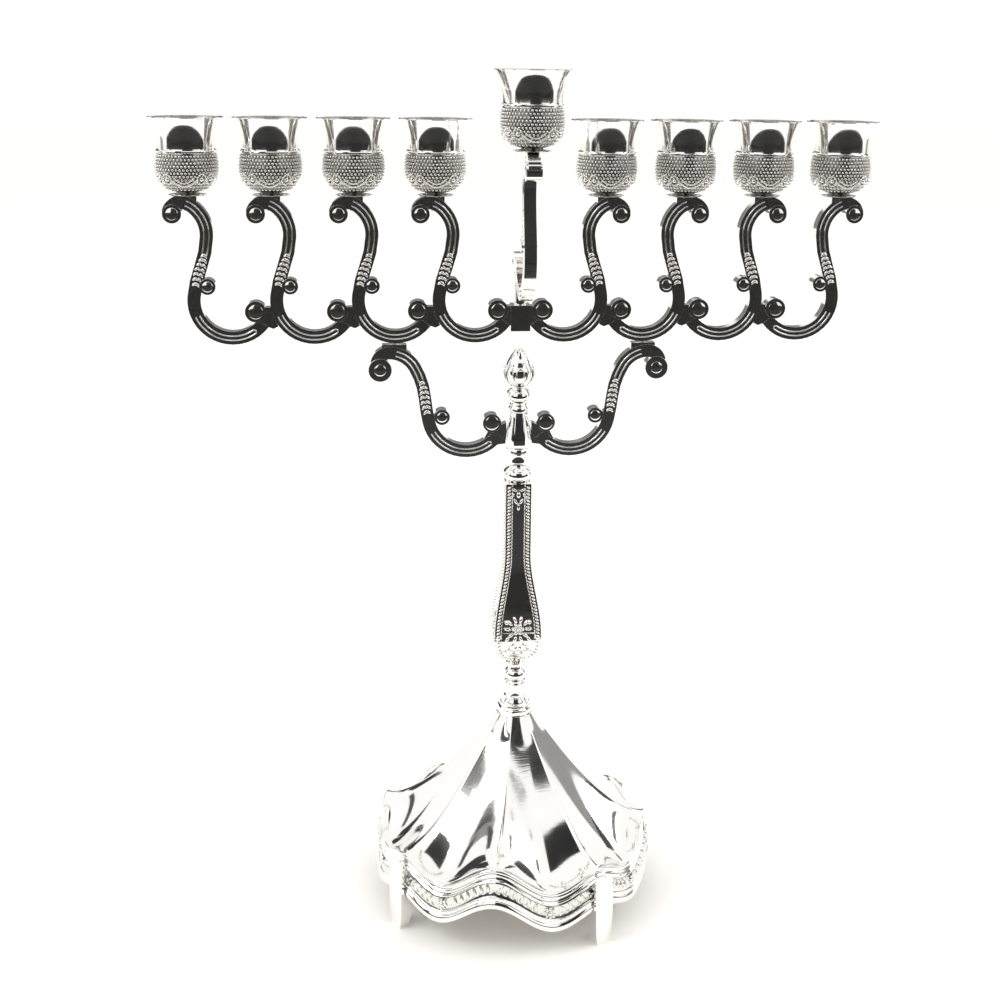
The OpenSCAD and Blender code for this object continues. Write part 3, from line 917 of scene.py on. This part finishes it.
def cupRelief():
    c = cupSize
    relief = []
    half = c["swagLeaves"] // 2
    for swag in range(c["swags"]):
        front = 2 * math.pi * swag / c["swags"]
        for k in range(c["swagLeaves"]):  # a hanging crescent with two edges
            t = (k - half) / half
            for lift, size in c["swagEdges"]:
                z = c["swagFoot"] + lift + (2.3 - 0.5 * lift) * t * t
                a = front + t * (c["swagReach"] - 0.09 * lift)
                relief.append(onBulb(a, z, (0.62, 0.9 * size, 0.5 * size), -math.atan(0.9 * t)))
        for side in (-1, 1):  # a pair of rosettes between the crescents
            centre = front + math.pi / c["swags"] + side * c["rosetteAside"]
            relief.append(onBulb(centre, c["rosetteHeight"], c["eye"]))
            for k in range(c["petals"]):
                b = 2 * math.pi * k / c["petals"]
                a = centre + c["rosetteOut"] * math.cos(b) / 12
                relief.append(onBulb(a, c["rosetteHeight"] + c["rosetteOut"] * math.sin(b), c["petal"], -b))
    return grains("cupRelief", relief, "small")


def makeCup():
    c = cupSize
    line = [(c["bore"], c["gap"])] + c["foot"] + [(r - 0.3, z) for r, z in bulbLine[1::3]] + c["ridge"]
    line += curvePoints(c["flare"], 3) + c["lip"] + curvePoints(c["inside"], 3)
    line += [(c["socket"], c["floor"] + 0.6), (c["socket"] - 0.6, c["floor"]), (c["bore"], c["floor"]),
             (c["bore"], c["gap"])]
    cup = setRecess(smooth(lathe("cupBody", line, c["steps"]), 35), cupShade)
    return joined([cup, cupBeads(), cupRelief()], "cupModel")


cupModel = makeCup()
for node in [f"cup_{i}" for i in range(1, 9)] + ["shamash_cup"]:
    piece = moved(copyOf(cupModel, f"candle_{node}"), seatOf(node))
    finishPiece(piece, node, "bright_silver", ornamentSilver, node)
bpy.data.objects.remove(cupModel)
print("cups made")

# the hardware keeps its exact shape
for node in ("base_washer", "base_nut", "tie_rod", "rail_screws", "shamash_screw", "link_pins", "arm_studs",
             "shamash_stud"):
    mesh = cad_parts[node].data
    if not mesh.materials:
        mesh.materials.append(steel)
    for slot in range(len(mesh.materials)):
        mesh.materials[slot] = steel
print("hardware finished")

studio = {
    "sky": 1.06, "floor": (0.97, 0.945, 0.91), "floorWidth": 12,
    # centre and size in metres, turn in degrees and grey of each card, which only reflections show
    "cards": {
        "frontDark": ((0.13, -1.15, 0.62), (0.95, 1.24), (90, 0, 0), 0.012),
        "floorDark": ((0.05, -0.70, 0.006), (2.2, 0.92), (0, 0, 0), 0.012),
        "lowDark": ((0.05, -1.16, 0.15), (2.2, 0.30), (90, 0, 0), 0.012),
        "leftLow": ((-1.05, -0.70, 0.15), (0.92, 0.30), (90, 0, -90), 0.012),
        "rightLow": ((1.15, -0.70, 0.15), (0.92, 0.30), (90, 0, 90), 0.012),
        "leftStrip": ((-1.05, -0.55, 0.55), (0.13, 1.1), (90, 0, -62), 0.02),
        "rightStrip": ((1.05, -0.45, 0.55), (0.16, 1.1), (90, 0, 67), 0.02),
        "leftGrey": ((-1.2, 0.25, 0.5), (0.30, 1.0), (90, 0, -102), 0.25),
        "backGrey": ((0, 1.35, 0.45), (1.5, 0.42), (90, 0, 0), 0.16),
        "rightGrey": ((1.2, 0.30, 0.5), (0.30, 1.0), (90, 0, 104), 0.25),
    },
    # dark flags in the sky: azimuth from the front, elevation, width and height in degrees
    "flags": [(-62, 39, 15, 18), (-59, 62, 24, 32), (25, 41, 26, 15), (21, 60, 34, 32), (45, 43.5, 15, 10),
              (58, 47.5, 12, 10), (78, 51, 20, 21), (130, 41, 24, 30), (-80, 33.5, 8, 7),
              (-92.5, 35.5, 13, 11), (-111, 39, 18, 22), (-149, 29, 16, 34), (106, 37, 16, 36),
              (-134, 28, 12, 26)],
    "flagDistance": 1.3, "flagGrey": (0.012, 0.012, 0.014),
    "lamps": {"leftSoft": ((-1.4, -0.4, 1.5), 12), "rightSoft": ((1.5, -0.2, 1.4), 10)},
    "lampSize": 1.0, "lampAim": (0, 0, 0.2),
}


def plainMaterial(name, colour, roughness=0.9):
    f = Finish(name)
    f.feed(Base_Color=(*colour, 1), Roughness=roughness)
    return f.material


def addCard(name, place, size, turn, material):
    clear()
    bpy.ops.mesh.primitive_plane_add(size=1, location=place, rotation=turn)
    card = bpy.context.object
    card.name = name
    card.scale = (*size, 1)
    applyPlace(card)
    card.data.materials.append(material)
    card.visible_camera = card.visible_diffuse = card.visible_shadow = False


def addFlags():
    black = plainMaterial("flagBlack", studio["flagGrey"])
    far = studio["flagDistance"]
    for azimuth, elevation, wide, tall in studio["flags"]:
        az, el = math.radians(azimuth), math.radians(elevation)
        place = (far * math.cos(el) * math.sin(az), -far * math.cos(el) * math.cos(az), far * math.sin(el))
        size = (far * math.radians(wide) * math.cos(el), far * math.radians(tall))
        addCard("flag", place, size, (math.pi / 2 + el, 0, az), black)


def addLamps():
    for name, (place, power) in studio["lamps"].items():
        data = bpy.data.lights.new(name, "AREA")
        data.energy = power
        data.size = studio["lampSize"]
        lamp = bpy.data.objects.new(name, data)
        lamp.location = place
        aim = Vector(studio["lampAim"]) - Vector(place)
        lamp.rotation_euler = aim.to_track_quat("-Z", "Y").to_euler()
        bpy.context.scene.collection.objects.link(lamp)


def addStudio():
    clear()
    bpy.ops.mesh.primitive_plane_add(size=studio["floorWidth"])
    floor = bpy.context.object
    floor.name = "floor"
    floor.data.materials.append(plainMaterial("paleFloor", studio["floor"], 0.6))
    for name, (place, size, turn, grey) in studio["cards"].items():
        addCard(name, place, size, [math.radians(t) for t in turn], plainMaterial(name, (grey, grey, grey)))
    addFlags()
    addLamps()
    world = bpy.data.worlds.new("studio")
    world.use_nodes = True
    sky = world.node_tree.nodes["Background"]
    sky.inputs["Color"].default_value = (1, 1, 1, 1)
    sky.inputs["Strength"].default_value = studio["sky"]
    bpy.context.scene.world = world
    bpy.context.scene.view_settings.view_transform = "Standard"


addStudio()
print("studio lit")

clear()
